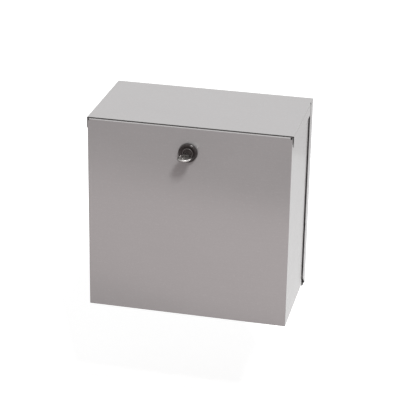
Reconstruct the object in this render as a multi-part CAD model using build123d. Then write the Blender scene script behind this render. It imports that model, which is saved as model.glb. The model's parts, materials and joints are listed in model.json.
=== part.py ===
from build123d import *
import os

# All lengths are in millimetres. X runs to the right seen from the front, Y runs from the front to the
# wall, and Z runs up. The origin is the middle of the four wall holes, on the rear face of the back.

# The body: back, rain hood and bottom flange, folded from one sheet
body_width = 302.5
body_height = 300.0
body_depth = 166.0
sheet = 0.8
bend_inside = 0.6
hood_flange = 16.5
hood_flange_slope = 2.0
back_flange = 21.0
bottom_flange = 15.0
flange_cut_height = 9.5
seam_gap = 2.0
relief_diameter = 5.0

# The holes in the back
wall_hole_diameter = 8.0
wall_hole_side_inset = 21.25
wall_hole_end_inset = 26.0
knockout_diameter = 25.0
knockout_pitch = 62.0
knockout_count = 3
knockout_height = 29.0
knockout_slit = 0.6
knockout_bridge = 3.0

# The cover: front, sides, bottom and returns, folded from one sheet
side_clearance = 0.65
cover_shift = -0.45
cover_proud = 1.4
top_clearance = 1.0
rear_clearance = 2.5
top_return = 14.0
side_return = 10.0
return_notch = 3.0
bottom_tab = 12.0
corner_seam = 0.3
corner_hole_diameter = 3.2
drain_diameter = 6.0
drain_inset = 32.0
tongue_inset = 3.0
tongue_rear_gap = 2.2

# The hinge between the cover's tongue and the bottom flange
hinge_end_inset = 7.5
knuckle_diameter = 5.0
knuckle_count = 14
knuckle_gap = 0.4
knuckle_clearance = 0.1
pin_diameter = 3.0
pin_clearance = 0.05
pin_head_diameter = 4.2
pin_head = 0.8
leaf_thickness = 1.0
leaf_clearance = 0.4
leaf_end_gap = 2.5
rivet_diameter = 3.2
rivet_clearance = 0.05
rivet_head_diameter = 6.0
rivet_head_height = 1.0
rivet_head_slope = 0.6
rivet_set_diameter = 5.2
rivet_set_height = 0.9
rivet_count = 5
rivet_end_distance = 22.0

# The cam lock
lock_below_top = 39.0
lock_head_overlap = 4.5
lock_head_height = 5.6
lock_edge_height = 2.5
lock_rim_width = 1.6
lock_rim_slope = 0.8
lock_dish_depth = 2.4
lock_ring_width = 1.4
lock_ring_height = 0.9
lock_seal_thickness = 0.8
lock_seal_inset = 0.8
barrel_diameter = 19.0
barrel_flats = 16.5
barrel_length = 21.0
barrel_clearance = 0.15
lock_nut_margin = 5.0
lock_nut_thickness = 4.0
plug_head_diameter = 12.5
plug_head_length = 6.0
plug_diameter = 10.5
plug_clearance = 0.05
plug_recess = 0.6
plug_web = 1.3

# The cam, its washer and its screw
cam_thickness = 2.5
cam_width = 16.0
cam_corner = 4.0
cam_top_clearance = 4.0
cam_square_margin = 3.5
cam_clearance = 0.1
cam_gap = 0.4
cam_play = 0.8
cam_washer_diameter = 12.0
cam_washer_thickness = 1.0
cam_screw_diameter = 4.0
cam_screw_length = 7.0
cam_screw_flats = 8.0
cam_screw_head = 3.2
screw_tip_gap = 0.5

# The key
key_blade_margin = 3.1
key_thickness = 2.0
key_neck_length = 9.0
key_neck_width = 8.6
key_bow_width = 20.0
key_bow_length = 23.0
key_bow_corner = 6.5
key_hole_diameter = 4.5
key_clearance = 0.1
key_end_gap = 0.5
key_point = 2.0
key_cut_width = 3.0
key_cut_depths = (0.8, 1.2, 0.6, 1.0)

# The striker under the hood
striker_thickness = 1.5
striker_width = 44.0
striker_leg = 24.0
striker_corner = 4.0
striker_clearance = 8.0

# The mounting plate and its fixings
plate_side_margin = 38.25
plate_above_bottom = 52.0
plate_below_top = 42.0
plate_thickness = 1.5
plate_corner = 5.0
plate_hole_inset = 13.0
plate_standoff = 13.0
stud_diameter = 6.0
stud_point = 0.6
stud_past_nut = 5.1
stud_clearance = 0.3
spacer_diameter = 12.0
washer_diameter = 12.5
washer_thickness = 1.4
nut_flats = 10.0
nut_thickness = 5.0

# The top hat rail and its fixings
rail_end_margin = 10.0
rail_width = 35.0
rail_base_width = 27.0
rail_depth = 7.5
rail_sheet = 1.0
rail_slot_length = 15.0
rail_slot_width = 5.4
rail_slot_pitch = 25.0
rail_screw_diameter = 5.0
rail_screw_head_diameter = 9.2
rail_screw_head_height = 3.0
rail_screw_head_slope = 1.2
rail_screw_slot = 1.2
rail_screw_past_nut = 1.5
rail_nut_flats = 8.0
rail_nut_thickness = 4.0

# The earth studs
earth_stud_side_inset = 19.25
earth_stud_above_bottom = 100.0
earth_stud_past_nut = 10.8
cover_stud_past_nut = 6.8
cover_stud_from_rear = 40.0
cover_stud_above_bottom = 46.0
stud_base_diameter = 9.0
stud_base_height = 0.8

# How far a cutting tool runs past what it cuts
over = 1.0

# Places on the body
knuckle_radius = knuckle_diameter / 2
bottom = -body_height / 2
top = body_height / 2
low = bottom - knuckle_diameter - 2 * knuckle_clearance - sheet
front = -body_depth
half_width = body_width / 2
bend_outside = bend_inside + sheet
back_face = -sheet
hood_face = top - sheet
wall_hole_x = half_width - wall_hole_side_inset
wall_hole_z = body_height / 2 - wall_hole_end_inset

# Places on the cover
cover_left = -half_width + sheet + side_clearance + cover_shift
cover_right = half_width - sheet - side_clearance + cover_shift
cover_front = front - cover_proud
cover_rear = -(back_flange + rear_clearance)
cover_top = hood_face - top_clearance
cover_middle = (cover_left + cover_right) / 2

# Places on the hinge
hinge_y = -(bottom_flange + knuckle_radius)
hinge_z = bottom - knuckle_clearance - knuckle_radius
hinge_left = cover_left + hinge_end_inset
hinge_right = cover_right - hinge_end_inset
knuckle_pitch = (hinge_right - hinge_left) / knuckle_count
leaf_rear = back_face - leaf_end_gap
leaf_front = hinge_y + knuckle_radius + leaf_clearance
rivet_y = (leaf_front + leaf_rear) / 2
rivet_pitch = (hinge_right - hinge_left - 2 * rivet_end_distance) / (rivet_count - 1)
rivet_places = [hinge_left + rivet_end_distance + i * rivet_pitch for i in range(rivet_count)]

# Places along the lock's axis, counted from the cover's front face towards the viewer
lock_x = cover_middle
lock_head_diameter = barrel_diameter + 2 * lock_head_overlap
lock_z = top - lock_below_top
lock_face = lock_seal_thickness + lock_head_height - lock_dish_depth
plug_face = lock_face - plug_recess
plug_rear = -barrel_length - cam_gap
plug_end = plug_rear - cam_thickness
screw_seat = plug_end - cam_washer_thickness
screw_tip = screw_seat + cam_screw_length
screw_hole_end = screw_tip + screw_tip_gap
key_slot_end = screw_hole_end + plug_web
key_tip = key_slot_end + key_end_gap
key_shoulder = plug_face + key_clearance
key_bow_start = key_shoulder + key_neck_length
key_blade_width = plug_diameter - key_blade_margin
cam_square = plug_diameter - cam_square_margin

# Places of the cam and the striker in the box
cam_front = cover_front - plug_rear
cam_reach = lock_below_top - sheet - striker_thickness - cam_top_clearance
striker_rear = cam_front - cam_play
striker_front = striker_rear - striker_thickness
striker_drop = lock_below_top - sheet - cam_width / 2 - striker_clearance

# Places of the mounting plate, its studs and the rail
plate_width = body_width - 2 * plate_side_margin
plate_height = body_height - plate_above_bottom - plate_below_top
plate_middle = bottom + plate_above_bottom + plate_height / 2
plate_rear = back_face - plate_standoff
plate_front = plate_rear - plate_thickness
stud_x = plate_width / 2 - plate_hole_inset
stud_z = plate_height / 2 - plate_hole_inset
stud_places = [(x, plate_middle + z) for x in (-stud_x, stud_x) for z in (-stud_z, stud_z)]
stud_hole_diameter = stud_diameter + 2 * stud_clearance
nut_hole_diameter = stud_diameter + 2 * plug_clearance
rail_length = plate_width - 2 * rail_end_margin
rail_slot_count = int(rail_length // rail_slot_pitch)
rail_slot_places = [(i - (rail_slot_count - 1) / 2) * rail_slot_pitch for i in range(rail_slot_count)]
rail_screw_places = [rail_slot_places[0], rail_slot_places[-1]]
rail_hole_diameter = rail_screw_diameter + 2 * stud_clearance


def block(x0, x1, y0, y1, z0, z1):
    """A box between two corners."""
    return Pos((x0 + x1) / 2, (y0 + y1) / 2, (z0 + z1) / 2) * Box(x1 - x0, y1 - y0, z1 - z0)


def facing_front(x, y, z):
    """A frame whose own Z axis points to the viewer and whose own Y axis points up."""
    return Plane(origin=(x, y, z), x_dir=(1, 0, 0), z_dir=(0, -1, 0))


def facing_right(x, y, z):
    """A frame whose own Z axis points to the right and whose own Y axis points up."""
    return Plane(origin=(x, y, z), x_dir=(0, 1, 0), z_dir=(1, 0, 0))


def rod(diameter, start, end):
    """A round bar along the local Z axis."""
    return Pos(0, 0, (start + end) / 2) * Cylinder(diameter / 2, end - start)


def ring(outer, inner, start, end):
    """A flat ring along the local Z axis."""
    return rod(outer, start, end) - rod(inner, start - over, end + over)


def button(diameter, slope, height):
    """A low round head with a sloping rim that stands on the local XY plane."""
    head = rod(diameter, 0, height)
    return chamfer(head.edges().group_by(Axis.Z)[-1], slope)


def hexagon(flats, start, end):
    """A hexagon bar along the local Z axis, with the corners of both ends turned down."""
    middle = flats / 2
    corner = flats / 3 ** 0.5
    drop = (corner - middle) / 3 ** 0.5
    bar = Pos(0, 0, start) * extrude(RegularPolygon(middle, 6, major_radius=False), amount=end - start)
    profile = make_face(Polyline(
        (0, start),
        (middle, start),
        (corner, start + drop),
        (corner, end - drop),
        (middle, end),
        (0, end),
        close=True,
    ))
    return bar & revolve(Plane.XZ * profile, Axis.Z)


def nut(flats, hole, start, end):
    """A hexagon nut along the local Z axis."""
    return hexagon(flats, start, end) - rod(hole, start - over, end + over)


def threaded_end(diameter, length):
    """A stud along the local Z axis with a chamfered end."""
    return chamfer(rod(diameter, 0, length).edges().group_by(Axis.Z)[-1], stud_point)


def rivet_hole(thickness):
    """The hole for one rivet through a sheet that lies on the local XY plane."""
    return rod(rivet_diameter + 2 * rivet_clearance, -over, thickness + over)


def body_block(inset, overrun, radius):
    """The outside of the body, or the space inside its sheet, rounded along every fold."""
    solid = block(-half_width + inset, half_width - inset, front - overrun, -inset, low + inset, top - inset)
    rear_edges = solid.faces().sort_by(Axis.Y)[-1].edges()
    return fillet(rear_edges + solid.edges().filter_by(Axis.Y), radius)


def knockout(x, z):
    """The slit round one knock-out disc, broken by two bridges."""
    slit = ring(knockout_diameter, knockout_diameter - 2 * knockout_slit, -over, sheet + over)
    bridges = Box(knockout_bridge, knockout_diameter + over, 2 * sheet + 4 * over)
    return facing_front(x, 0, z) * (slit - bridges)


def make_back_and_hood():
    """Back with side flanges and a bottom flange, and the hood with its down-turned side flanges."""
    body = body_block(0, 0, bend_outside) - body_block(sheet, over, bend_inside)
    body -= block(
        -half_width - over, half_width + over,
        front - over, -bottom_flange,
        low - over, low + bend_outside,
    )
    below_hood = make_face(Polyline(
        (front - over, low - over),
        (front - over, top - hood_flange),
        (-back_flange, top - hood_flange - hood_flange_slope),
        (-back_flange, low - over),
        close=True,
    ))
    below_flange = make_face(Polyline(
        (-back_flange - over, low - over),
        (-back_flange - over, bottom + flange_cut_height),
        (-back_flange, bottom + flange_cut_height),
        (-bend_outside - relief_diameter / 2, low + sheet),
        (-bend_outside - relief_diameter / 2, low - over),
        close=True,
    ))
    for side in (-1, 1):
        x0, x1 = sorted((side * (half_width - bend_outside), side * (half_width + over)))
        # the side flanges of the hood are low, and a seam parts them from those of the back
        body -= facing_right(x0, 0, 0) * extrude(below_hood, amount=x1 - x0)
        body -= block(x0, x1, -back_flange - seam_gap, -back_flange, low - over, top - bend_outside)
        relief = facing_right(0, -back_flange - seam_gap / 2, top - relief_diameter / 2)
        body -= relief * rod(relief_diameter, x0, x1)
        # the lower end of the back's side flange is cut at a slant
        body -= facing_right(x0, 0, 0) * extrude(below_flange, amount=x1 - x0)
    for x in (-wall_hole_x, wall_hole_x):
        for z in (-wall_hole_z, wall_hole_z):
            body -= facing_front(x, 0, z) * rod(wall_hole_diameter, -over, sheet + over)
    for x in rivet_places:
        body -= Pos(x, rivet_y, low) * rivet_hole(sheet)
    for i in range(knockout_count):
        body -= knockout((i - (knockout_count - 1) / 2) * knockout_pitch, bottom + knockout_height)
    return body


def cover_block(inset, radius):
    """The outside of the cover, or the space inside its sheet, rounded along every fold."""
    solid = block(
        cover_left + inset, cover_right - inset,
        cover_front + inset, cover_rear - inset,
        bottom + inset, cover_top - inset,
    )
    front_edges = solid.edges().filter_by(Axis.X).group_by(Axis.Y)[0]
    return fillet(solid.edges().filter_by(Axis.Z) + front_edges, radius)


def lock_opening():
    """The hole with two flats that keeps the lock's barrel from turning."""
    width = barrel_flats + 2 * barrel_clearance
    diameter = barrel_diameter + 2 * barrel_clearance
    hole = rod(diameter, -sheet - over, over) & Box(width, diameter, 2 * sheet + 4 * over)
    return facing_front(lock_x, cover_front, lock_z) * hole


def make_front_cover():
    """Front, two sides and a bottom with its tongue, with returns under the hood and along the sides."""
    cover = cover_block(0, bend_outside) - cover_block(sheet, bend_inside)
    tab_front = cover_front + bend_outside + return_notch
    tab_rear = cover_rear - return_notch
    # the top is open behind its return, and the rear is open between the side returns
    cover -= block(
        cover_left + sheet, cover_right - sheet,
        cover_front + top_return, cover_rear + over,
        cover_top - bend_outside, cover_top + over,
    )
    cover -= block(
        cover_left + side_return, cover_right - side_return,
        cover_rear - bend_outside, cover_rear + over,
        bottom + sheet, cover_top + over,
    )
    for inward, outer in ((1, cover_left), (-1, cover_right)):
        inner = outer + inward * sheet
        # the side return ends above the bottom
        x0, x1 = sorted((inner, outer + inward * (side_return + over)))
        cover -= block(
            x0, x1,
            cover_rear - bend_outside, cover_rear + over,
            bottom + sheet, bottom + sheet + return_notch,
        )
        # the top return is parted from the side by a seam that ends in a round relief
        x0, x1 = sorted((inner, inner + inward * corner_seam))
        cover -= block(
            x0, x1,
            cover_front + sheet, cover_front + top_return,
            cover_top - bend_outside, cover_top + over,
        )
        relief = rod(corner_hole_diameter, -bend_outside - over, over)
        cover -= facing_front(outer + inward * bend_outside, cover_front, cover_top - bend_outside) * relief
        # the bottom's tab stands inside the side, and a seam shows from below
        cover -= block(x0, x1, tab_front, cover_rear + over, bottom - over, bottom + sheet)
        x0, x1 = sorted((inner, inner + inward * sheet))
        cover += block(x0, x1, tab_front, tab_rear, bottom + sheet / 2, bottom + bottom_tab)
        drain = rod(drain_diameter, -over, sheet + over)
        cover -= Pos(outer + inward * drain_inset, cover_front + drain_inset, bottom) * drain
    # the tongue reaches between the back's side flanges, over the hinge
    cover += block(
        cover_left + tongue_inset, cover_right - tongue_inset,
        cover_rear - bend_outside, back_face - tongue_rear_gap,
        bottom, bottom + sheet,
    )
    for x in rivet_places:
        cover -= Pos(x, rivet_y, bottom) * rivet_hole(sheet)
    return cover - lock_opening()


def make_hinge_leaf(floor, first):
    """A leaf whose lower face lies at the height floor, with every second knuckle from the first on."""
    leaf = block(hinge_left, hinge_right, hinge_y, leaf_rear, floor, floor + leaf_thickness)
    for i in range(knuckle_count):
        start = hinge_left + i * knuckle_pitch
        end = start + knuckle_pitch
        if i % 2 == first:
            knuckle = rod(knuckle_diameter, start + knuckle_gap / 2, end - knuckle_gap / 2)
            leaf += facing_right(0, hinge_y, hinge_z) * knuckle
        else:
            leaf -= block(
                start - knuckle_gap / 2, end + knuckle_gap / 2,
                hinge_y - over, leaf_front,
                floor - over, floor + leaf_thickness + over,
            )
    bore = rod(pin_diameter + 2 * pin_clearance, hinge_left - over, hinge_right + over)
    leaf -= facing_right(0, hinge_y, hinge_z) * bore
    for x in rivet_places:
        leaf -= Pos(x, rivet_y, floor) * rivet_hole(leaf_thickness)
    return leaf


def make_fixed_leaf():
    return make_hinge_leaf(low + sheet, 0)


def make_moving_leaf():
    return make_hinge_leaf(bottom - leaf_thickness, 1)


def make_hinge_pin():
    """The pin through all the knuckles, with an upset head at each end."""
    pin = rod(pin_diameter, hinge_left - pin_head, hinge_right + pin_head)
    pin += rod(pin_head_diameter, hinge_left - pin_head, hinge_left - pin_clearance)
    pin += rod(pin_head_diameter, hinge_right + pin_clearance, hinge_right + pin_head)
    return facing_right(0, hinge_y, hinge_z) * pin


def make_rivets(under, above):
    """A row of rivets between two faces, with a button head above and a set head below."""
    rivet = rod(rivet_diameter, under, above)
    rivet += Pos(0, 0, above) * button(rivet_head_diameter, rivet_head_slope, rivet_head_height)
    rivet += rod(rivet_set_diameter, under - rivet_set_height, under)
    return [Pos(x, rivet_y, 0) * rivet for x in rivet_places]


def make_fixed_leaf_rivets():
    return make_rivets(low, low + sheet + leaf_thickness)


def make_moving_leaf_rivets():
    return make_rivets(bottom - leaf_thickness, bottom + sheet)


def make_lock_housing():
    """A round head with a raised rim, a dish and a ring round the plug, on a barrel with two flats."""
    outer = lock_head_diameter / 2
    rim = outer - lock_rim_slope
    bore = plug_head_diameter / 2 + plug_clearance
    ring_top = lock_face + lock_ring_height
    profile = make_face(Polyline(
        (0, lock_seal_thickness),
        (outer, lock_seal_thickness),
        (outer, lock_seal_thickness + lock_edge_height),
        (rim, lock_seal_thickness + lock_head_height),
        (rim - lock_rim_width, lock_seal_thickness + lock_head_height),
        (bore + lock_ring_width + lock_rim_slope, lock_face),
        (bore + lock_ring_width, lock_face),
        (bore + lock_ring_width, ring_top),
        (0, ring_top),
        close=True,
    ))
    head = revolve(Plane.XZ * profile, Axis.Z)
    barrel = rod(barrel_diameter, -barrel_length, lock_seal_thickness + over)
    barrel &= Box(barrel_flats, barrel_diameter, 2 * barrel_length)
    housing = head + barrel
    housing -= rod(2 * bore, lock_face - plug_head_length, ring_top + over)
    housing -= rod(plug_diameter + 2 * plug_clearance, -barrel_length - over, lock_face)
    return facing_front(lock_x, cover_front, lock_z) * housing


def make_lock_seal():
    """The ring of rubber under the lock's head."""
    outer = lock_head_diameter - 2 * lock_seal_inset
    seal = ring(outer, barrel_diameter + 2 * barrel_clearance, 0, lock_seal_thickness)
    return facing_front(lock_x, cover_front, lock_z) * seal


def make_lock_nut():
    """The thin nut that clamps the lock to the cover."""
    hole = barrel_diameter + 2 * barrel_clearance
    body = nut(barrel_diameter + lock_nut_margin, hole, -sheet - lock_nut_thickness, -sheet)
    return facing_front(lock_x, cover_front, lock_z) * body


def make_lock_plug():
    """The turning cylinder: a wide head, a body with the key slot, and a square tail for the cam."""
    shoulder = lock_face - plug_head_length + plug_clearance
    plug = rod(plug_head_diameter, shoulder, plug_face)
    plug = chamfer(plug.edges().group_by(Axis.Z)[-1], plug_recess)
    plug += rod(plug_diameter, plug_rear, shoulder)
    plug += Pos(0, 0, (plug_rear + plug_end) / 2) * Box(cam_square, cam_square, cam_thickness)
    plug -= rod(cam_screw_diameter, plug_end - over, screw_hole_end)
    slot_width = key_blade_width + 2 * key_clearance
    slot_height = key_thickness + 2 * key_clearance
    slot_length = plug_face + over - key_slot_end
    plug -= Pos(0, 0, key_slot_end + slot_length / 2) * Box(slot_width, slot_height, slot_length)
    return facing_front(lock_x, cover_front, lock_z) * plug


def make_lock_key():
    """A flat key: a bow with a hole, a neck, and a pointed blade with cuts along one edge."""
    half_blade = key_blade_width / 2
    outline = make_face(Polyline(
        (-half_blade, key_shoulder),
        (-half_blade, key_tip + key_point),
        (-half_blade + key_point, key_tip),
        (half_blade - key_point, key_tip),
        (half_blade, key_tip + key_point),
        (half_blade, key_shoulder),
        close=True,
    ))
    neck = Rectangle(key_neck_width, key_neck_length + 2 * over)
    outline += Pos(0, key_shoulder + key_neck_length / 2 + over) * neck
    bow = RectangleRounded(key_bow_width, key_bow_length, key_bow_corner)
    outline += Pos(0, key_bow_start + key_bow_length / 2) * bow
    outline -= Pos(0, key_bow_start + key_bow_length - key_hole_diameter) * Circle(key_hole_diameter / 2)
    for i, depth in enumerate(key_cut_depths):
        place = key_tip + key_point + (i + 1) * key_cut_width
        outline -= make_face(Polyline(
            (half_blade + depth, place - key_cut_width / 2 - depth),
            (half_blade - depth, place),
            (half_blade + depth, place + key_cut_width / 2 + depth),
            close=True,
        ))
    # the blade lies level, and its length runs towards the front
    level = Plane(origin=(lock_x, cover_front, lock_z), x_dir=(1, 0, 0), z_dir=(0, 0, -1))
    return level * extrude(outline, amount=key_thickness / 2, both=True)


def make_lock_cam():
    """The flat arm that lies to the right, with a square hole for the plug's tail."""
    arm = Pos(cam_reach / 2, 0) * Rectangle(cam_reach, cam_width)
    arm = fillet(arm.vertices().group_by(Axis.X)[-1], cam_corner) + Circle(cam_width / 2)
    hole = cam_square + 2 * cam_clearance
    arm -= Rectangle(hole, hole)
    cam = extrude(arm, amount=cam_thickness)
    return facing_front(lock_x, cover_front, lock_z) * Pos(0, 0, plug_end) * cam


def make_cam_washer():
    """The washer between the cam and its screw."""
    washer = ring(cam_washer_diameter, cam_screw_diameter + 2 * cam_clearance, screw_seat, plug_end)
    return facing_front(lock_x, cover_front, lock_z) * washer


def make_cam_screw():
    """The hexagon screw that holds the cam on the plug."""
    screw = hexagon(cam_screw_flats, screw_seat - cam_screw_head, screw_seat)
    screw += rod(cam_screw_diameter - 2 * plug_clearance, screw_seat - over, screw_tip)
    return facing_front(lock_x, cover_front, lock_z) * screw


def make_lock_striker():
    """The angle under the hood whose lip the cam turns up behind."""
    left = lock_x - striker_width / 2
    right = lock_x + striker_width / 2
    low_edge = hood_face - striker_drop
    outside = block(left, right, striker_front, striker_front + striker_leg, low_edge, hood_face)
    inside = block(
        left - over, right + over,
        striker_rear, striker_front + striker_leg + over,
        low_edge - over, hood_face - striker_thickness,
    )
    outer_fold = outside.edges().filter_by(Axis.X).group_by(Axis.Z)[-1].sort_by(Axis.Y)[0]
    inner_fold = inside.edges().filter_by(Axis.X).group_by(Axis.Z)[-1].sort_by(Axis.Y)[0]
    striker = fillet(outer_fold, bend_inside + striker_thickness) - fillet(inner_fold, bend_inside)
    return fillet(striker.edges().filter_by(Axis.Y).group_by(Axis.Z)[0], striker_corner)


def at_studs(shape):
    """One copy of a piece on each of the mounting plate's studs."""
    return [facing_front(x, back_face, z) * shape for x, z in stud_places]


def make_plate_studs():
    length = plate_standoff + plate_thickness + washer_thickness + nut_thickness + stud_past_nut
    return at_studs(threaded_end(stud_diameter, length))


def make_plate_spacers():
    return at_studs(ring(spacer_diameter, stud_hole_diameter, 0, plate_standoff))


def make_mounting_plate():
    """The flat plate that carries the equipment."""
    outline = RectangleRounded(plate_width, plate_height, plate_corner)
    for x, z in stud_places:
        outline -= Pos(x, z - plate_middle) * Circle(stud_hole_diameter / 2)
    for x in rail_screw_places:
        outline -= Pos(x, 0) * Circle(rail_hole_diameter / 2)
    return facing_front(0, plate_rear, plate_middle) * extrude(outline, amount=plate_thickness)


def make_plate_washers():
    seat = plate_standoff + plate_thickness
    return at_studs(ring(washer_diameter, stud_hole_diameter, seat, seat + washer_thickness))


def make_plate_nuts():
    seat = plate_standoff + plate_thickness + washer_thickness
    return at_studs(nut(nut_flats, nut_hole_diameter, seat, seat + nut_thickness))


def make_din_rail():
    """The top hat rail: a base on the plate, two webs and two brims, with a row of slots."""
    half_base = rail_base_width / 2
    half_brim = rail_width / 2
    profile = make_face(Polyline(
        (-half_base, 0),
        (half_base, 0),
        (half_base, rail_depth - rail_sheet),
        (half_brim, rail_depth - rail_sheet),
        (half_brim, rail_depth),
        (half_base - rail_sheet, rail_depth),
        (half_base - rail_sheet, rail_sheet),
        (-half_base + rail_sheet, rail_sheet),
        (-half_base + rail_sheet, rail_depth),
        (-half_brim, rail_depth),
        (-half_brim, rail_depth - rail_sheet),
        (-half_base, rail_depth - rail_sheet),
        close=True,
    ))
    across = Plane(origin=(-rail_length / 2, plate_front, plate_middle), x_dir=(0, 0, 1), z_dir=(1, 0, 0))
    rail = across * extrude(profile, amount=rail_length)
    for x in rail_slot_places:
        slot = extrude(SlotOverall(rail_slot_length, rail_slot_width), amount=rail_sheet + 2 * over)
        rail -= facing_front(x, plate_front, plate_middle) * Pos(0, 0, -over) * slot
    return rail


def make_rail_screws():
    """Two slotted screws through the rail and the plate."""
    head_top = rail_sheet + rail_screw_head_height
    head = button(rail_screw_head_diameter, rail_screw_head_slope, rail_screw_head_height)
    head = Pos(0, 0, rail_sheet) * head
    head -= Pos(0, 0, head_top) * Box(rail_screw_head_diameter, rail_screw_slot, 2 * rail_screw_slot)
    shank_end = -plate_thickness - rail_nut_thickness - rail_screw_past_nut
    screw = head + rod(rail_screw_diameter, shank_end, rail_sheet)
    return [facing_front(x, plate_front, plate_middle) * screw for x in rail_screw_places]


def make_rail_nuts():
    hole = rail_screw_diameter + 2 * plug_clearance
    body = nut(rail_nut_flats, hole, -rail_nut_thickness, 0)
    return [facing_front(x, plate_rear, plate_middle) * body for x in rail_screw_places]


def earth_stud(past_nut):
    """A welded stud with the low collar of its weld."""
    length = stud_base_height + washer_thickness + nut_thickness + past_nut
    return threaded_end(stud_diameter, length) + rod(stud_base_diameter, 0, stud_base_height)


def earth_washer():
    return ring(washer_diameter, stud_hole_diameter, stud_base_height, stud_base_height + washer_thickness)


def earth_nut():
    seat = stud_base_height + washer_thickness
    return nut(nut_flats, nut_hole_diameter, seat, seat + nut_thickness)


on_back = facing_front(-half_width + earth_stud_side_inset, back_face, bottom + earth_stud_above_bottom)
on_cover = facing_right(
    cover_left + sheet,
    cover_rear - cover_stud_from_rear,
    bottom + cover_stud_above_bottom,
)

nodes = {
    "back_and_hood": make_back_and_hood(),
    "lock_striker": make_lock_striker(),
    "hinge_fixed_leaf": make_fixed_leaf(),
    "hinge_pin": make_hinge_pin(),
    "fixed_leaf_rivets": make_fixed_leaf_rivets(),
    "plate_studs": make_plate_studs(),
    "plate_spacers": make_plate_spacers(),
    "mounting_plate": make_mounting_plate(),
    "plate_washers": make_plate_washers(),
    "plate_nuts": make_plate_nuts(),
    "din_rail": make_din_rail(),
    "rail_screws": make_rail_screws(),
    "rail_nuts": make_rail_nuts(),
    "earth_stud": on_back * earth_stud(earth_stud_past_nut),
    "earth_washer": on_back * earth_washer(),
    "earth_nut": on_back * earth_nut(),
    "front_cover": make_front_cover(),
    "hinge_moving_leaf": make_moving_leaf(),
    "moving_leaf_rivets": make_moving_leaf_rivets(),
    "cover_earth_stud": on_cover * earth_stud(cover_stud_past_nut),
    "cover_earth_washer": on_cover * earth_washer(),
    "cover_earth_nut": on_cover * earth_nut(),
    "lock_housing": make_lock_housing(),
    "lock_seal": make_lock_seal(),
    "lock_nut": make_lock_nut(),
    "lock_plug": make_lock_plug(),
    "lock_key": make_lock_key(),
    "lock_cam": make_lock_cam(),
    "cam_washer": make_cam_washer(),
    "cam_screw": make_cam_screw(),
}

os.makedirs("parts", exist_ok=True)
for name, shape in nodes.items():
    pieces = shape if isinstance(shape, list) else [shape]
    solids = [solid for piece in pieces for solid in piece.solids()]
    export_step(solids[0] if len(solids) == 1 else Compound(children=solids), "parts/" + name + ".step")
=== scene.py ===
import json
import math

import bpy
from mathutils import Matrix, Vector


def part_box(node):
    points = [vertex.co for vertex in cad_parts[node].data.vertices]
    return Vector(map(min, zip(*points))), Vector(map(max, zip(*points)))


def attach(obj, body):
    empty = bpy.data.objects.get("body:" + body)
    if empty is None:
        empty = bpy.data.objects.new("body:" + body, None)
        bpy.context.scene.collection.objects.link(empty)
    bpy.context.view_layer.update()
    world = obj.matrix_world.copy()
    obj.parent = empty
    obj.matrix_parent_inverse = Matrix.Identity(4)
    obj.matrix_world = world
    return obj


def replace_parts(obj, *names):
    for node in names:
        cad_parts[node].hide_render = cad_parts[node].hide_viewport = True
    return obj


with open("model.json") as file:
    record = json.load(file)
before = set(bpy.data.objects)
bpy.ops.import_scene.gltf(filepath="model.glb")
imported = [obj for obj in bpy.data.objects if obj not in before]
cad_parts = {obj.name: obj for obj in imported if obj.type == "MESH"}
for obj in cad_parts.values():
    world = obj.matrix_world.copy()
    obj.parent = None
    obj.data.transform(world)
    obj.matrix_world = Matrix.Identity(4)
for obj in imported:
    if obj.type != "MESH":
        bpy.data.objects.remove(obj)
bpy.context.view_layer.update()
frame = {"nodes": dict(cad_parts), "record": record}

NODES = frame["nodes"]
MM = 0.001
FULL_TURN = 2 * math.pi

# The camera, where the photograph was taken from, in metres
CAMERA_PLACE = Vector((0.4732, -2.1818, 0.9333))
CAMERA_FORWARD = Vector((-0.2023, 0.89507, -0.39741))
CAMERA_UP = Vector((-0.10355, 0.38398, 0.91752))
CAMERA_NEAR = 0.05
CAMERA_FAR = 60.0
FOCAL_PIXELS = 1558.7
FRAME_PIXELS = 400
SENSOR_WIDTH = 36.0

# The floor, in metres, lies below the opened cover, which swings lower than the box itself
FLOOR_HEIGHT = -0.37
FLOOR_SIDE = 30
FLOOR_COLOUR = (0.86, 0.86, 0.86)
FLOOR_GLOW = 0.62
FLOOR_GLOW_MIRRORED = 0.22
CARD_HEIGHT = 0.004
CARD_ROUGHNESS = 0.9
REAR_CARD_GLOW = 0.16

# Light levels, and the lamp in metres and watts
WORLD_DIFFUSE = 0.45
WORLD_SEEN = 1.0
LAMP_PLACE = Vector((1.3, -2.6, 3.1))
LAMP_TARGET = Vector((0, -0.08, 0))
LAMP_SIDE = 0.7
LAMP_POWER = 150

# Sizes that the details share with the solids, in millimetres
SHEET = 0.8
BACK_FLANGE = 21.0
SEAM_GAP = 2.0
SEAM_BOTTOM = 131.0
RELIEF_RADIUS = 2.5
STUD_DIAMETER = 6.0
STUD_POINT = 0.6
STUD_COLLAR_DIAMETER = 9.0
STUD_COLLAR_HEIGHT = 0.8
STRIKER_SHEET = 1.5
LOCK_RING_RADIUS = 7.0
LOCK_RING_ROUND = 0.7
LOCK_RING_HEIGHT = 0.9
LOCK_DISH_DEPTH = 2.4
KEY_BOW_WIDTH = 20.0
KEY_BOW_LENGTH = 23.0
KEY_NECK_WIDTH = 8.6
KEY_NECK_LENGTH = 9.0
KEY_BLADE_WIDTH = 7.4
KEY_POINT = 2.0
KEY_CUT_WIDTH = 3.0
KEY_CUT_DEPTHS = (0.8, 1.2, 0.6, 1.0)
KEY_HOLE_RADIUS = 2.25

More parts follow.
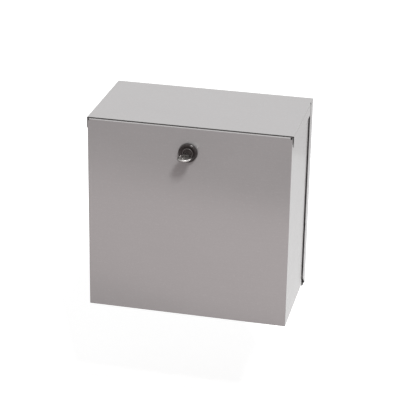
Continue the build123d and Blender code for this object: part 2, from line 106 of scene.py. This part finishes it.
# Values of the details alone: sizes in millimetres, angles in degrees, and counts, shares and powers
CUT_EDGE_TOLERANCE = 0.004
PLATE_STUD_PLAIN = 13.0
EARTH_STUD_PLAIN = 1.6
THREAD_PITCH = 1.0
THREAD_DEPTH = 0.55
THREAD_SLOPE = 1.6
THREAD_CREST = 0.3
THREAD_STEPS = 6
THREAD_SIDES = 22
STUD_CORE_INSET = 0.3
STUD_END = 0.1
COLLAR_STRAIGHT = 0.7
COLLAR_CHAMFER = 0.5
WELD_ROWS = ((-0.05, 2.5), (0.02, 2.4), (0.13, 2.1), (0.16, 1.8), (0.06, 1.4), (0.03, 0.7), (0.03, 0.15))
WELD_SIDES = 24
TAB_WELD_HEIGHT = 6.5
TAB_WELD_DEPTHS = (22, 72, 122)
STRIKER_WELD_REAR = 8
STRIKER_WELD_SIDE = 9
KEY_BOW_POWER = 0.84
KEY_BOW_STEPS = 48
KEY_HOLE_SIDES = 24
KEY_EDGE_ROUND = 0.35
KEY_SHARP_ANGLE = 50
KEY_RIM_RADIUS = 1.5
KEY_RIM_INSET = 1.3
TUBE_SECTIONS = 12
TUBE_STEPS = 64
BEVEL_ANGLE = 40
BEVEL_SEGMENTS = 2
BEVELS = {
    0.3: ("lock_housing",),
    0.15: (
        "lock_plug", "lock_nut", "plate_nuts", "earth_nut", "cover_earth_nut",
        "rail_nuts", "rail_screws", "cam_screw",
    ),
    0.12: (
        "lock_cam", "cam_washer", "plate_washers", "earth_washer", "cover_earth_washer", "plate_spacers",
    ),
}

# Colours and values that several materials share
WHITE = (1, 1, 1, 1)
SHEET_COLOUR = (0.456, 0.444, 0.444)
SHEET_METALLIC = 0.55
# painted shade of the hood's rear seams and reliefs, laid on the sheet's cut edges there
PAINTED_SEAM_SHADE = (0.025, 0.024, 0.023)
SEAM_SHADE_FADE = 0.5

# A face counts as level when the height of its normal is above this
LEVEL_NORMAL = 0.7


def add_camera():
    data = bpy.data.cameras.new("camera")
    data.sensor_fit = "HORIZONTAL"
    data.sensor_width = SENSOR_WIDTH
    data.lens = SENSOR_WIDTH * FOCAL_PIXELS / FRAME_PIXELS
    data.clip_start = CAMERA_NEAR
    data.clip_end = CAMERA_FAR
    camera = bpy.data.objects.new("camera", data)
    bpy.context.scene.collection.objects.link(camera)
    back = -CAMERA_FORWARD.normalized()
    right = CAMERA_UP.cross(back).normalized()
    up = back.cross(right)
    turn = Matrix((right, up, back)).transposed()
    camera.matrix_world = Matrix.Translation(CAMERA_PLACE) @ turn.to_4x4()
    bpy.context.scene.camera = camera


class Nodes:
    """A node tree, with short ways to add what its materials need."""

    def __init__(self, owner):
        owner.use_nodes = True
        self.tree = owner.node_tree
        self.tree.nodes.clear()
        self.place = None

    def add(self, kind, **settings):
        node = self.tree.nodes.new("ShaderNode" + kind)
        for name, value in settings.items():
            setattr(node, name, value)
        return node

    def link(self, output, socket):
        self.tree.links.new(output, socket)

    def maths(self, operation, first, *others):
        """One operation over two or more values, from left to right."""
        for other in others:
            node = self.add("Math", operation=operation)
            for socket, value in zip(node.inputs, (first, other)):
                if isinstance(value, (int, float)):
                    socket.default_value = value
                else:
                    self.link(value, socket)
            first = node.outputs[0]
        return first

    def seen(self, straight, mirrored):
        """One value for the camera, one for what metal and glass show, and 0 for diffuse light."""
        path = self.add("LightPath").outputs
        other = self.maths("MAXIMUM", path["Is Glossy Ray"], path["Is Transmission Ray"])
        return self.maths(
            "MAXIMUM",
            self.maths("MULTIPLY", path["Is Camera Ray"], straight),
            self.maths("MULTIPLY", other, mirrored),
        )

    def coordinates(self, scale, offset=(0, 0, 0)):
        """Object coordinates times a scale, which is one number or one for each axis."""
        if self.place is None:
            self.place = self.add("TexCoord").outputs["Object"]
        if isinstance(scale, (int, float)):
            scale = (scale, scale, scale)
        mapping = self.add("Mapping")
        mapping.inputs["Location"].default_value = offset
        mapping.inputs["Scale"].default_value = scale
        self.link(self.place, mapping.inputs["Vector"])
        return mapping.outputs[0]

    def axis(self, number):
        """One of the three object coordinates, in metres."""
        parts = self.add("SeparateXYZ")
        self.link(self.coordinates(1), parts.inputs[0])
        return parts.outputs[number]

    def noise(self, scale, detail, roughness=0.5, offset=(0, 0, 0)):
        """A noise with its scale per metre."""
        node = self.add("TexNoise")
        node.inputs["Scale"].default_value = 1.0
        node.inputs["Detail"].default_value = detail
        node.inputs["Roughness"].default_value = roughness
        self.link(self.coordinates(scale, offset), node.inputs["Vector"])
        return node.outputs[0]

    def cells(self, scale):
        """A random grey for each crystal."""
        node = self.add("TexVoronoi")
        node.inputs["Scale"].default_value = 1.0
        self.link(self.coordinates(scale), node.inputs["Vector"])
        grey = self.add("SeparateColor")
        self.link(node.outputs["Color"], grey.inputs[0])
        return grey.outputs[0]

    def between(self, factor, low, high, start=0.25, end=0.75):
        """From low to high while the factor goes from start to end."""
        node = self.add("MapRange", clamp=True)
        self.link(factor, node.inputs[0])
        for socket, value in zip(node.inputs[1:5], (start, end, low, high)):
            socket.default_value = value
        return node.outputs[0]

    def mix(self, factor, first, second):
        """A mix of two colours or two outputs."""
        node = self.add("Mix", data_type="RGBA")
        self.link(factor, node.inputs[0])
        for socket, value in zip(node.inputs[6:8], (first, second)):
            if isinstance(value, tuple):
                socket.default_value = (*value, 1)
            else:
                self.link(value, socket)
        return node.outputs[2]

    def combine(self, kind, first, second):
        """A shader node with two outputs linked to its last two inputs."""
        node = self.add(kind)
        self.link(first, node.inputs[-2])
        self.link(second, node.inputs[-1])
        return node


class Finish(Nodes):
    """A material with one Principled shader. Its plain values serve tools that read no other nodes."""

    def __init__(self, name, colour, metallic, roughness):
        self.material = bpy.data.materials.new(name)
        super().__init__(self.material)
        self.shader = self.add("BsdfPrincipled")
        self.shader.inputs["Base Color"].default_value = (*colour, 1)
        self.shader.inputs["Metallic"].default_value = metallic
        self.shader.inputs["Roughness"].default_value = roughness
        out = self.add("OutputMaterial")
        self.link(self.shader.outputs[0], out.inputs["Surface"])

    def colour(self, factor, first, second):
        """The base colour, mixed from two by a factor."""
        self.link(self.mix(factor, first, second), self.shader.inputs["Base Color"])

    def tones(self, value, first, second, *span):
        """The base colour, from the first colour to the second as a value rises."""
        self.colour(self.between(value, 0, 1, *span), first, second)

    def roughness(self, output):
        self.link(output, self.shader.inputs["Roughness"])

    def bump(self, height, strength, distance):
        """Bumps that follow a height, over a distance in millimetres."""
        node = self.add("Bump")
        node.inputs["Strength"].default_value = strength
        node.inputs["Distance"].default_value = distance * MM
        self.link(height, node.inputs["Height"])
        self.link(node.outputs[0], self.shader.inputs["Normal"])


def shades(colour, spread):
    """A darker and a lighter tone of a colour."""
    return tuple(v * (1 - spread) for v in colour), tuple(v * (1 + spread) for v in colour)


def brushed_steel(name, colour, metallic, roughness, grain_per_metre):
    """Rolled steel with a fine level grain, soft clouds, small scuffs and flecks."""
    finish = Finish(name, colour, metallic, roughness)
    normal = finish.add("SeparateXYZ")
    finish.link(finish.add("NewGeometry").outputs["Normal"], normal.inputs[0])
    flat = finish.maths("GREATER_THAN", finish.maths("ABSOLUTE", normal.outputs[2], 0), LEVEL_NORMAL)
    level = finish.noise((7, 7, grain_per_metre), 3, 0.65)
    across = finish.noise((7, grain_per_metre, 7), 3, 0.65, (3, 1, 2))
    grain = finish.mix(flat, level, across)
    cloud = finish.noise(11, 3, 0.6, (1, 5, 2))
    scuff = finish.noise((60, 60, 420), 2, 0.7, (8, 2, 4))
    speck = finish.noise((300, 300, 550), 2, 0.6, (6, 3, 9))
    fleck = finish.noise((330, 330, 480), 1, 0.5, (2, 7, 5))
    tone = finish.maths(
        "ADD",
        finish.between(grain, 0.0, 0.4),
        finish.between(cloud, 0.0, 0.3),
        finish.between(speck, 0.0, 0.3),
        finish.between(fleck, 0.0, 0.7, 0.6, 0.75),
    )
    finish.colour(tone, *shades(colour, 0.05))
    finish.roughness(finish.maths(
        "ADD",
        finish.between(grain, roughness - 0.03, roughness + 0.03),
        finish.between(cloud, -0.02, 0.02),
        finish.between(scuff, 0.0, -0.04, 0.62, 0.8),
    ))
    finish.bump(grain, 0.12, 0.02)
    return finish.material


def zinc_plate():
    """Galvanised sheet with a pattern of small crystals."""
    finish = Finish("zinc_plate", (0.5, 0.51, 0.52), 0.8, 0.45)
    crystal = finish.cells((110, 110, 150))
    small = finish.cells(420)
    cloud = finish.noise(14, 3)
    large_tone = finish.between(crystal, 0.0, 0.6, 0, 1)
    small_tone = finish.between(small, 0.0, 0.4, 0, 1)
    finish.colour(finish.maths("ADD", large_tone, small_tone), (0.44, 0.455, 0.47), (0.58, 0.585, 0.59))
    large_rough = finish.between(crystal, 0.38, 0.52, 0, 1)
    finish.roughness(finish.maths("ADD", large_rough, finish.between(cloud, -0.04, 0.06)))
    finish.bump(crystal, 0.08, 0.03)
    return finish.material


def bright_hardware():
    """Bright zinc with a faint blue and straw tint."""
    finish = Finish("bright_hardware", (0.6, 0.6, 0.58), 0.95, 0.28)
    wear = finish.noise(700, 3, 0.7)
    finish.tones(finish.noise(140, 2), (0.56, 0.6, 0.63), (0.64, 0.61, 0.53))
    finish.roughness(finish.between(wear, 0.2, 0.4))
    finish.bump(wear, 0.1, 0.02)
    return finish.material


def black_plastic():
    """Moulded black plastic with a fine texture and a little dust."""
    finish = Finish("lock_black", (0.022, 0.017, 0.017), 0.0, 0.38)
    dust = finish.noise(260, 4, 0.7, (2, 2, 7))
    finish.tones(dust, (0.019, 0.014, 0.014), (0.056, 0.046, 0.045), 0.5, 0.85)
    finish.roughness(finish.between(dust, 0.32, 0.46))
    finish.bump(finish.noise(2600, 2), 0.2, 0.04)
    return finish.material


def painted_highlight_plastic():
    """The raised ring round the plug, a lighter copy of the black plastic that paints its highlight,
    mottled by noise.
    """
    finish = Finish("lock_ring", (0.06, 0.053, 0.053), 0.0, 0.24)
    mottle = finish.noise(900, 3, 0.6, (5, 2, 1))
    # lighter tones than the lock's black plastic: a painted highlight on the ring
    finish.tones(mottle, (0.05, 0.042, 0.042), (0.092, 0.08, 0.079))
    finish.roughness(finish.between(mottle, 0.18, 0.32))
    return finish.material


def rubber():
    """Matt black rubber with a fine grain."""
    finish = Finish("seal_rubber", (0.02, 0.02, 0.02), 0.0, 0.8)
    grain = finish.noise(1800, 3)
    finish.colour(grain, (0.014, 0.014, 0.014), (0.03, 0.03, 0.03))
    finish.bump(grain, 0.3, 0.05)
    return finish.material


def cast_metal():
    """Dull dark plating on die-cast metal."""
    finish = Finish("lock_metal", (0.05, 0.05, 0.05), 0.8, 0.42)
    grain = finish.noise(1500, 3, 0.7)
    finish.tones(finish.noise(300, 2), (0.036, 0.03, 0.03), (0.078, 0.066, 0.065))
    finish.roughness(finish.between(grain, 0.34, 0.5))
    finish.bump(grain, 0.2, 0.03)
    return finish.material


def key_nickel():
    """Nickel plate, dulled by handling, with fine scratches along the key."""
    finish = Finish("key_nickel", (0.4, 0.39, 0.37), 1.0, 0.3)
    scratch = finish.noise((2200, 90, 2200), 2, 0.7)
    stain = finish.noise(170, 3, 0.6, (4, 1, 1))
    finish.tones(stain, (0.3, 0.29, 0.275), (0.46, 0.45, 0.43))
    finish.roughness(finish.between(scratch, 0.24, 0.4))
    finish.bump(scratch, 0.04, 0.02)
    return finish.material


def painted_highlight_nickel():
    """The border of the key's bow, with a painted highlight at its front and right and painted shade
    towards the lock, mottled by noise.
    """
    finish = Finish("key_edge", (0.7, 0.69, 0.66), 1.0, 0.24)
    mottle = finish.noise(260, 3)
    # painted highlight on the front and right of the border, fading to painted shade towards the lock
    bright = finish.maths(
        "MULTIPLY",
        finish.between(finish.axis(1), 1, 0, -0.2, -0.188),
        finish.between(finish.axis(0), 0.15, 1, -0.008, 0.001),
        finish.between(mottle, 0.75, 1),
    )
    finish.colour(bright, (0.17, 0.16, 0.155), (0.76, 0.74, 0.73))
    finish.roughness(finish.between(mottle, 0.16, 0.3))
    return finish.material


def cut_steel(name, colour):
    """The cut edges of the sheet, in a given colour darker than its faces: partly their duller finish,
    partly painted shade of the gaps they line.
    """
    finish = Finish(name, colour, 0.5, 0.5)
    grain = finish.noise(1800, 2)
    finish.tones(grain, *shades(colour, 0.3))
    finish.roughness(finish.between(grain, 0.42, 0.58))
    return finish.material


def flange_edge_painted_shade():
    """The long front edge of a rear flange, painted with the dark shade of the hood's seam above the seam's
    bottom, and plain sheet below it.
    """
    finish = Finish("flange_edge", SHEET_COLOUR, SHEET_METALLIC, 0.35)
    grain = finish.between(finish.noise(1800, 2), 0, 1)
    plain = finish.mix(grain, *shades(SHEET_COLOUR, 0.05))
    low = (SEAM_BOTTOM - SEAM_SHADE_FADE) * MM
    high = (SEAM_BOTTOM + SEAM_SHADE_FADE) * MM
    # painted seam shade above the seam's bottom, plain sheet below it
    finish.tones(finish.axis(2), plain, PAINTED_SEAM_SHADE, low, high)
    return finish.material


def add_world():
    """White for the camera and for reflections, and a calmer level for diffuse light."""
    world = bpy.data.worlds.new("studio")
    bpy.context.scene.world = world
    nodes = Nodes(world)
    levels = []
    for strength in (WORLD_DIFFUSE, WORLD_SEEN):
        level = nodes.add("Background")
        level.inputs["Color"].default_value = WHITE
        level.inputs["Strength"].default_value = strength
        levels.append(level.outputs[0])
    mix = nodes.combine("MixShader", *levels)
    nodes.link(nodes.seen(1.0, 1.0), mix.inputs[0])
    nodes.link(mix.outputs[0], nodes.add("OutputWorld").inputs["Surface"])


def pale_ground(name, colour, straight, mirrored):
    """A pale ground that glows a little to the eye and in reflections, and still takes the shadow."""
    material = bpy.data.materials.new(name)
    nodes = Nodes(material)
    diffuse = nodes.add("BsdfDiffuse")
    diffuse.inputs["Color"].default_value = (*colour, 1)
    glow = nodes.add("Emission")
    glow.inputs["Color"].default_value = WHITE
    nodes.link(nodes.seen(straight, mirrored), glow.inputs["Strength"])
    both = nodes.combine("AddShader", diffuse.outputs[0], glow.outputs[0])
    nodes.link(both.outputs[0], nodes.add("OutputMaterial").inputs["Surface"])
    return material


def add_plane(name, size, place, degrees, material):
    """A level plane of the stage."""
    mesh = bpy.data.meshes.new(name)
    w, h = size[0] / 2, size[1] / 2
    mesh.from_pydata([(-w, -h, 0), (w, -h, 0), (w, h, 0), (-w, h, 0)], [], [(0, 1, 2, 3)])
    mesh.materials.append(material)
    plane = bpy.data.objects.new(name, mesh)
    plane.location = place
    plane.rotation_euler = (0, 0, math.radians(degrees))
    bpy.context.scene.collection.objects.link(plane)
    return plane


def add_lamp():
    data = bpy.data.lights.new("studio_lamp", "AREA")
    data.shape = "RECTANGLE"
    data.size = LAMP_SIDE
    data.size_y = LAMP_SIDE
    data.energy = LAMP_POWER
    lamp = bpy.data.objects.new("studio_lamp", data)
    lamp.location = LAMP_PLACE
    lamp.rotation_euler = (LAMP_TARGET - LAMP_PLACE).to_track_quat("-Z", "Y").to_euler()
    bpy.context.scene.collection.objects.link(lamp)


def add_studio():
    add_world()
    ground = pale_ground("floor", FLOOR_COLOUR, FLOOR_GLOW, FLOOR_GLOW_MIRRORED)
    add_plane("floor", (FLOOR_SIDE, FLOOR_SIDE), (0, 0, FLOOR_HEIGHT), 0, ground)
    # cards with the tones of the room before and behind the box, which only its reflections show
    dim = Finish("dim_room", (0.26, 0.235, 0.235), 0.0, CARD_ROUGHNESS).material
    near = Finish("near_carpet", (0.38, 0.345, 0.345), 0.0, CARD_ROUGHNESS).material
    pale = Finish("pale_carpet", (0.57, 0.515, 0.515), 0.0, CARD_ROUGHNESS).material
    rear = pale_ground("rear_carpet", (0.8, 0.79, 0.79), 0.0, REAR_CARD_GLOW)
    for name, size, x, y, rise, degrees, material in (
        ("dim_carpet", (9, 4.7), 0, -2.35, 0, 0, dim),
        ("near_carpet", (5, 0.7), 0, -0.35, 0.002, 0, near),
        ("pale_carpet", (5, 0.48), -0.2, -0.87, 0.004, 14, pale),
        ("rear_carpet", (6, 4), 0, 3.05, 0, 0, rear),
    ):
        card = add_plane(name, size, (x, y, FLOOR_HEIGHT + CARD_HEIGHT + rise), degrees, material)
        card.visible_camera = False
        card.visible_shadow = False
        # the rear card would keep the sky's light off the floor behind the box
        card.visible_diffuse = material is not rear
    add_lamp()


def add_mesh(name, shape, body, material):
    """A smooth piece from its points and faces, on a body."""
    mesh = bpy.data.meshes.new(name)
    points, faces = shape
    mesh.from_pydata(points, [], faces)
    mesh.validate()
    mesh.update()
    mesh.polygons.foreach_set("use_smooth", [True] * len(mesh.polygons))
    mesh.materials.append(material)
    obj = bpy.data.objects.new(name, mesh)
    bpy.context.scene.collection.objects.link(obj)
    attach(obj, body)
    return obj


def rotation(degrees, axis):
    return Matrix.Rotation(math.radians(degrees), 3, axis)


def circle(count):
    """Equal angles round a full turn."""
    return [FULL_TURN * i / count for i in range(count)]


def front_middle(node):
    """The middle of the front of a node's box."""
    low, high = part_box(node)
    return Vector(((low.x + high.x) / 2, low.y, (low.z + high.z) / 2))


def turned(rows, sides):
    """A turned piece from (height, radius by angle) rows, closed at both ends."""
    points = []
    faces = []
    for height, radius in rows:
        for angle in circle(sides):
            r = radius(angle) if callable(radius) else radius
            points.append(Vector((r * math.cos(angle), r * math.sin(angle), height)))
    last = (len(rows) - 1) * sides
    for row in range(0, last, sides):
        for j in range(sides):
            k = (j + 1) % sides
            faces.append((row + j, row + k, row + sides + k, row + sides + j))
    faces.append(tuple(reversed(range(sides))))
    faces.append(tuple(last + j for j in range(sides)))
    return points, faces


def copies(shape, places, turn):
    """The same shape in millimetres, turned alike, at several places in metres."""
    points = []
    faces = []
    for place in places:
        start = len(points)
        points += [(turn @ (p * MM)) + place for p in shape[0]]
        faces += [tuple(start + k for k in face) for face in shape[1]]
    return points, faces


def tube(rings, inward):
    """A closed tube through rings of points. Its faces are turned over where they would face inward."""
    count = len(rings[0])
    faces = []
    for i in range(len(rings)):
        n = (i + 1) % len(rings)
        for j in range(count):
            k = (j + 1) % count
            a, b, c, d = i * count + j, i * count + k, n * count + k, n * count + j
            faces.append((a, d, c, b) if inward else (a, b, c, d))
    return [point for ring in rings for point in ring], faces


def thread_rows(length, collar, plain_to):
    """Rows of a stud with a coarse M6 thread, a plain part below it and a chamfered end."""
    crest = STUD_DIAMETER / 2
    core = crest - STUD_CORE_INSET
    rows = []
    if collar:
        outer = STUD_COLLAR_DIAMETER / 2
        rows += [(0, outer), (STUD_COLLAR_HEIGHT * COLLAR_STRAIGHT, outer)]
        rows += [(STUD_COLLAR_HEIGHT, outer - COLLAR_CHAMFER), (STUD_COLLAR_HEIGHT, core)]
    else:
        rows += [(0, core)]
    rows.append((plain_to, core))
    count = int((length - plain_to - STUD_END) / THREAD_PITCH * THREAD_STEPS)
    for i in range(1, count + 1):
        height = plain_to + i * THREAD_PITCH / THREAD_STEPS
        limit = min(crest, crest - STUD_POINT + (length - height))

        def radius(angle, height=height, limit=limit):
            phase = (height / THREAD_PITCH - angle / FULL_TURN) % 1.0
            wave = min(1.0, max(0.0, THREAD_SLOPE * abs(2 * phase - 1) - THREAD_CREST))
            return min(limit, crest - THREAD_DEPTH * wave)

        rows.append((height, radius))
    rows.append((length, crest - STUD_POINT - STUD_END))
    return rows


def add_threads(material):
    """Threaded studs that stand for the plain ones."""
    low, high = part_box("plate_studs")
    radius = STUD_DIAMETER / 2 * MM
    places = [
        Vector((x, high.y, z))
        for x in (low.x + radius, high.x - radius)
        for z in (low.z + radius, high.z - radius)
    ]
    stud = turned(thread_rows((high.y - low.y) / MM, False, PLATE_STUD_PLAIN), THREAD_SIDES)
    studs = copies(stud, places, rotation(90, "X"))
    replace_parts(add_mesh("plate_stud_threads", studs, "housing", material), "plate_studs")

    low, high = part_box("earth_stud")
    place = Vector(((low.x + high.x) / 2, high.y, (low.z + high.z) / 2))
    stud = turned(thread_rows((high.y - low.y) / MM, True, EARTH_STUD_PLAIN), THREAD_SIDES)
    stud = copies(stud, [place], rotation(90, "X"))
    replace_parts(add_mesh("earth_stud_thread", stud, "housing", material), "earth_stud")

    low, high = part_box("cover_earth_stud")
    place = Vector((low.x, (low.y + high.y) / 2, (low.z + high.z) / 2))
    stud = turned(thread_rows((high.x - low.x) / MM, True, EARTH_STUD_PLAIN), THREAD_SIDES)
    stud = copies(stud, [place], rotation(90, "Y"))
    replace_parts(add_mesh("cover_stud_thread", stud, "cover", material), "cover_earth_stud")


def add_weld_marks(material):
    """The shallow rings that spot welding leaves on the inner side of a sheet."""
    mark = turned(WELD_ROWS, WELD_SIDES)
    low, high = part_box("front_cover")
    inner = 2 * SHEET * MM
    height = low.z + TAB_WELD_HEIGHT * MM
    for name, x, degrees in (
        ("left_tab_welds", low.x + inner, 90),
        ("right_tab_welds", high.x - inner, -90),
    ):
        places = [Vector((x, low.y + depth * MM, height)) for depth in TAB_WELD_DEPTHS]
        add_mesh(name, copies(mark, places, rotation(degrees, "Y")), "cover", material)

    low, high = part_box("lock_striker")
    under = high.z - STRIKER_SHEET * MM
    rear = high.y - STRIKER_WELD_REAR * MM
    side = STRIKER_WELD_SIDE * MM
    places = [Vector((x, rear, under)) for x in (low.x + side, high.x - side)]
    marks = copies(mark, places, rotation(180, "X"))
    add_mesh("striker_welds", marks, "housing", material)


def bow_point(angle, inset):
    """A point on the oval outline of the key's bow, with the angle counted from its neck."""
    across = math.sin(angle)
    along = math.cos(angle)
    x = math.copysign(abs(across) ** KEY_BOW_POWER, across) * (KEY_BOW_WIDTH / 2 - inset)
    y = math.copysign(abs(along) ** KEY_BOW_POWER, along) * (KEY_BOW_LENGTH / 2 - inset)
    return x, KEY_BOW_LENGTH / 2 + y


def key_outline(length):
    """The key from above, in millimetres from the front end of its bow to the tip of its blade."""
    neck = KEY_NECK_WIDTH / 2
    blade = KEY_BLADE_WIDTH / 2
    half_cut = KEY_CUT_WIDTH / 2
    shoulder = KEY_BOW_LENGTH + KEY_NECK_LENGTH
    first = math.asin((neck / (KEY_BOW_WIDTH / 2)) ** (1 / KEY_BOW_POWER))
    sweep = FULL_TURN - 2 * first
    outline = [bow_point(first + sweep * i / KEY_BOW_STEPS, 0) for i in range(KEY_BOW_STEPS + 1)]
    outline += [(-neck, shoulder), (-blade, shoulder)]
    outline += [(-blade, length - KEY_POINT), (KEY_POINT - blade, length)]
    outline += [(blade - KEY_POINT, length), (blade, length - KEY_POINT)]
    for i, depth in enumerate(KEY_CUT_DEPTHS):
        place = length - KEY_POINT - (i + 1) * KEY_CUT_WIDTH
        outline += [(blade, place + half_cut), (blade - depth, place), (blade, place - half_cut)]
    return outline + [(blade, shoulder), (neck, shoulder)]


def add_key(material):
    """The key, with rounded edges and a hole in its bow."""
    low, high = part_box("lock_key")
    curve = bpy.data.curves.new("key_shape", "CURVE")
    curve.dimensions = "2D"
    curve.fill_mode = "BOTH"
    curve.extrude = (high.z - low.z) / 2 - KEY_EDGE_ROUND * MM
    curve.bevel_depth = KEY_EDGE_ROUND * MM
    curve.bevel_resolution = 2
    curve.offset = -KEY_EDGE_ROUND * MM
    hole = [
        (KEY_HOLE_RADIUS * math.cos(angle), 2 * KEY_HOLE_RADIUS + KEY_HOLE_RADIUS * math.sin(angle))
        for angle in circle(KEY_HOLE_SIDES)
    ]
    for loop in (key_outline((high.y - low.y) / MM), hole):
        spline = curve.splines.new("POLY")
        spline.points.add(len(loop) - 1)
        spline.use_cyclic_u = True
        for point, (x, y) in zip(spline.points, loop):
            point.co = (x * MM, y * MM, 0, 1)
    shape = bpy.data.objects.new("key_shape", curve)
    mesh = bpy.data.meshes.new_from_object(shape)
    bpy.data.objects.remove(shape)
    mesh.transform(Matrix.Translation(front_middle("lock_key")))
    mesh.shade_smooth()
    mesh.set_sharp_from_angle(angle=math.radians(KEY_SHARP_ANGLE))
    mesh.materials.clear()
    mesh.materials.append(material)
    key = bpy.data.objects.new("key", mesh)
    bpy.context.scene.collection.objects.link(key)
    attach(key, "lock")
    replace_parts(key, "lock_key")


def add_key_rim(material):
    """The thick round border of the key's bow."""
    front = front_middle("lock_key")
    rings = []
    for angle in circle(TUBE_SECTIONS):
        inset = KEY_RIM_INSET - KEY_RIM_RADIUS * math.cos(angle)
        rise = KEY_RIM_RADIUS * math.sin(angle)
        rings.append([front + Vector((*bow_point(turn, inset), rise)) * MM for turn in circle(TUBE_STEPS)])
    add_mesh("key_bow_rim", tube(rings, True), "lock", material)


def add_lock_ring(material):
    """The rounded top of the raised ring round the plug."""
    front = front_middle("lock_housing")
    depth = LOCK_DISH_DEPTH - LOCK_RING_HEIGHT + LOCK_RING_ROUND / 2
    rings = []
    for angle in circle(TUBE_SECTIONS):
        r = LOCK_RING_RADIUS + LOCK_RING_ROUND * math.cos(angle)
        y = depth - LOCK_RING_ROUND * math.sin(angle)
        ring = [Vector((r * math.cos(turn), y, r * math.sin(turn))) for turn in circle(TUBE_STEPS)]
        rings.append([front + point * MM for point in ring])
    add_mesh("lock_ring", tube(rings, False), "cover", material)


def soften_edges(node, width):
    """A small bevel on a node's sharp edges."""
    bevel = NODES[node].modifiers.new("edges", "BEVEL")
    bevel.width = width * MM
    bevel.segments = BEVEL_SEGMENTS
    bevel.limit_method = "ANGLE"
    bevel.angle_limit = math.radians(BEVEL_ANGLE)
    bevel.harden_normals = True


def paint_all():
    """Every node takes the finish of its slot in the record."""
    finishes = {
        "stainless_sheet": brushed_steel("stainless_sheet", SHEET_COLOUR, SHEET_METALLIC, 0.17, 1500),
        "stainless_hardware": brushed_steel("stainless_hardware", (0.55, 0.54, 0.53), 0.9, 0.34, 2500),
        "zinc_plate": zinc_plate(),
        "bright_hardware": bright_hardware(),
        "lock_black": black_plastic(),
        "seal_rubber": rubber(),
        "lock_metal": cast_metal(),
        "key_nickel": key_nickel(),
    }
    for part in frame["record"]["subparts"]:
        materials = NODES[part["node"]].data.materials
        materials.clear()
        materials.append(finishes[part["material_slot"]])
    return finishes


def paint_cut_edges():
    """Faces with a side as long as the sheet is thick are its cut edges.

    They are dull and painted dark as the shade of the gaps they line, darkest with painted seam shade round
    the hood's rear seams and reliefs. The front edges of the back's side flanges, below those seams, are as
    bright as the sheet.
    """
    edges = [
        # dark cut edges: duller steel, and painted shade of the gaps between the sheets
        cut_steel("cut_edge", (0.1, 0.097, 0.094)),
        # this dark edge paints the shade inside the hood's rear seams and reliefs
        cut_steel("painted_seam_shade_edge", PAINTED_SEAM_SHADE),
        flange_edge_painted_shade(),
    ]
    cut, seam_shade, flange = 1, 2, 3
    seam_rear = -(BACK_FLANGE - RELIEF_RADIUS) * MM
    seam_front = -(BACK_FLANGE + SEAM_GAP + RELIEF_RADIUS) * MM
    for node in ("back_and_hood", "front_cover"):
        mesh = NODES[node].data
        for material in edges:
            mesh.materials.append(material)
        points = [v.co for v in mesh.vertices]
        for face in mesh.polygons:
            sides = [(points[a] - points[b]).length for a, b in face.edge_keys]
            if not any(abs(side - SHEET * MM) < CUT_EDGE_TOLERANCE * MM for side in sides):
                continue
            if node == "front_cover" or not seam_front < face.center.y < seam_rear:
                face.material_index = cut
            # painted seam shade on the cut edges above the seam's bottom
            elif face.center.z > SEAM_BOTTOM * MM:
                face.material_index = seam_shade
            else:
                face.material_index = flange


add_camera()
add_studio()
FINISHES = paint_all()
paint_cut_edges()
for bevel_width, bevel_nodes in BEVELS.items():
    for bevel_node in bevel_nodes:
        soften_edges(bevel_node, bevel_width)
add_key(FINISHES["key_nickel"])
add_key_rim(painted_highlight_nickel())
add_lock_ring(painted_highlight_plastic())
add_threads(FINISHES["stainless_hardware"])
add_weld_marks(FINISHES["stainless_sheet"])

bpy.context.scene.view_settings.view_transform = "Standard"
